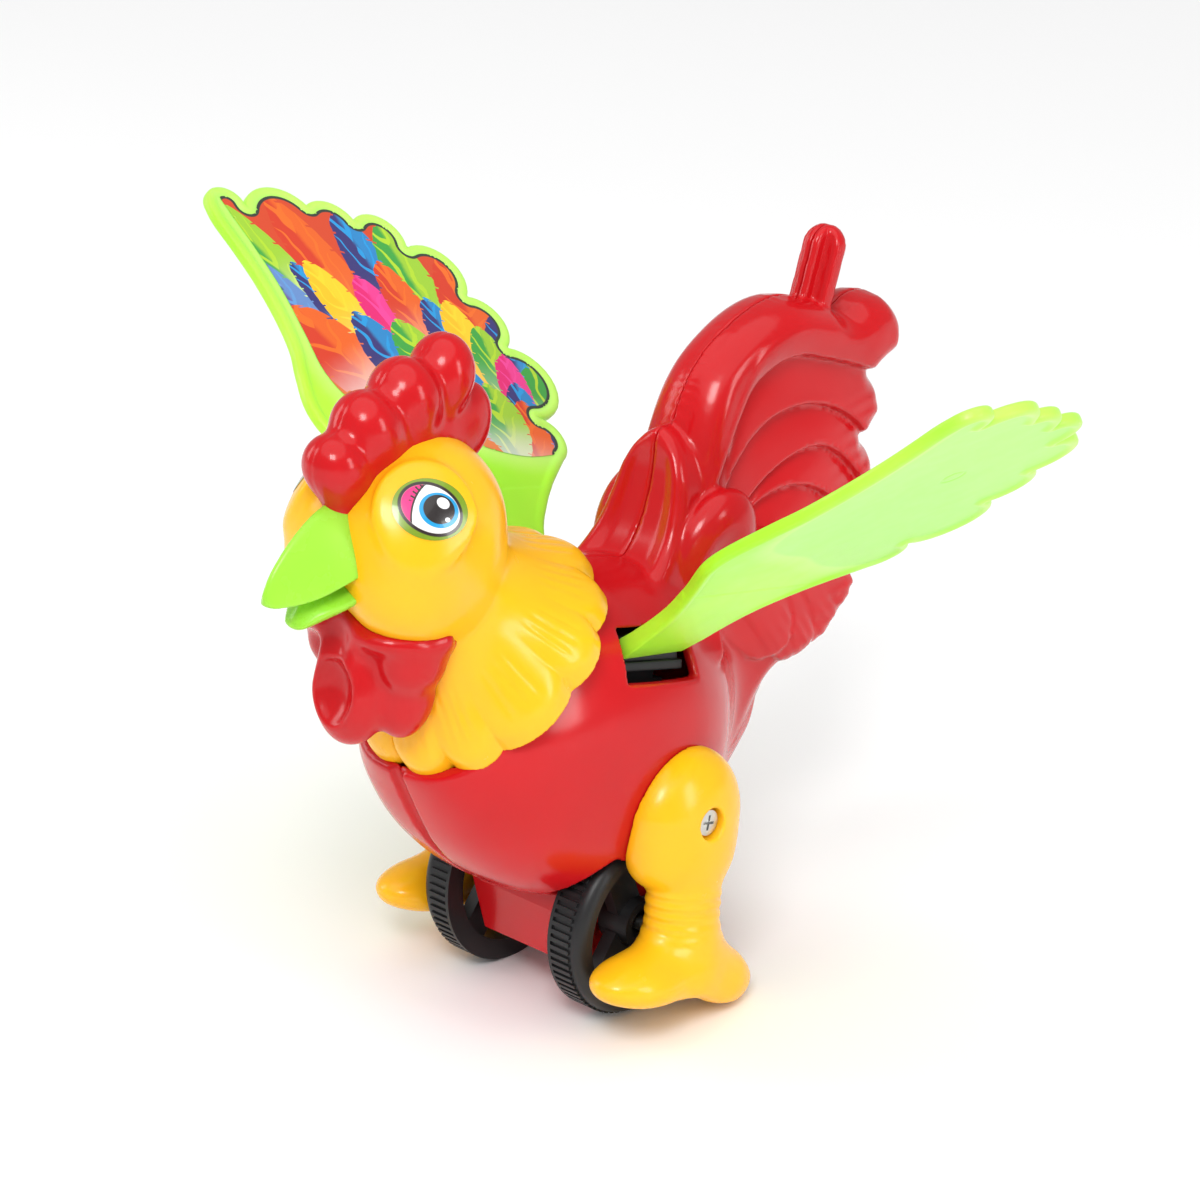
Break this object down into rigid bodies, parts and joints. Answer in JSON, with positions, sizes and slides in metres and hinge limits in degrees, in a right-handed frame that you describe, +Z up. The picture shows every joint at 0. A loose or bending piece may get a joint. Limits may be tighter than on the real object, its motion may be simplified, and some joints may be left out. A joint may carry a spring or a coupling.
{
  "type": "push-along toy rooster",
  "caption": "push-along plastic rooster toy on two wheels, with hinged flapping wings driven by a cam on the axle",
  "frame": {"origin": "on the floor, at the middle of the toy's bounding box", "axes": "+Z up, the beak points along -Y, the toy's left wing is towards +X, which runs along the wingspan"},
  "size_m": [0.2068, 0.1838, 0.1526],
  "materials": {
    "red_plastic": "glossy injection-moulded red plastic",
    "yellow_plastic": "glossy injection-moulded warm yellow plastic",
    "lime_plastic": "glossy, slightly translucent lime green plastic",
    "black_plastic": "satin black plastic",
    "steel": "bright zinc-plated steel",
    "wing_print": "multicolour printed film sticker",
    "eye_print": "printed film eye sticker"
  },
  "bodies": {
    "root": {"body_left_half": "red_plastic", "body_right_half": "red_plastic", "closing_screws": "steel", "housing_left_half": "red_plastic", "housing_right_half": "red_plastic", "head_left_half": "yellow_plastic", "head_right_half": "yellow_plastic", "comb": "red_plastic", "wattle": "red_plastic", "beak_upper": "lime_plastic", "beak_lower": "lime_plastic", "eye_decal_left": "eye_print", "eye_decal_right": "eye_print", "leg_left": "yellow_plastic", "leg_right": "yellow_plastic", "leg_screw_left": "steel", "leg_screw_right": "steel", "rocker_bracket": "black_plastic", "wing_hinge_pin_left": "steel", "wing_hinge_pin_right": "steel"},
    "wheelset": {"wheel_axle": "steel", "wheel_left": "black_plastic", "wheel_right": "black_plastic", "flap_cam": "black_plastic"},
    "lifter_slide": {"lifter": "black_plastic"},
    "wing_left_arm": {"rocker_plate_left": "black_plastic", "wing_left": "lime_plastic", "wing_sticker_left": "wing_print"},
    "wing_right_arm": {"rocker_plate_right": "black_plastic", "wing_right": "lime_plastic", "wing_sticker_right": "wing_print"}
  },
  "joints": [
    {"name": "wheel_spin", "type": "hinge", "parent": "root", "child": "wheelset", "pos_m": [0, -0.01107, 0.02], "axis": [1, 0, 0], "continuous": true},
    {"name": "wing_left_flap", "type": "hinge", "parent": "root", "child": "wing_left_arm", "pos_m": [0.0035, -0.0052, 0.07744], "axis": [0, 0.9659, -0.2588], "range_deg": [-2, 18]},
    {"name": "wing_right_flap", "type": "hinge", "parent": "root", "child": "wing_right_arm", "pos_m": [-0.0035, -0.0052, 0.07744], "axis": [0, 0.9659, -0.2588], "range_deg": [-18, 2]},
    {"name": "lifter_travel", "type": "slide", "parent": "root", "child": "lifter_slide", "axis": [0, 0.2588, 0.9659], "range_m": [-0.00331, 0.00038]}
  ],
  "couplings": [
    {"joint": "wing_right_flap", "follows": "wing_left_flap", "ratio": -1},
    {"joint": "lifter_travel", "follows": "wing_left_flap", "m_per_rad": -0.0105}
  ]
}
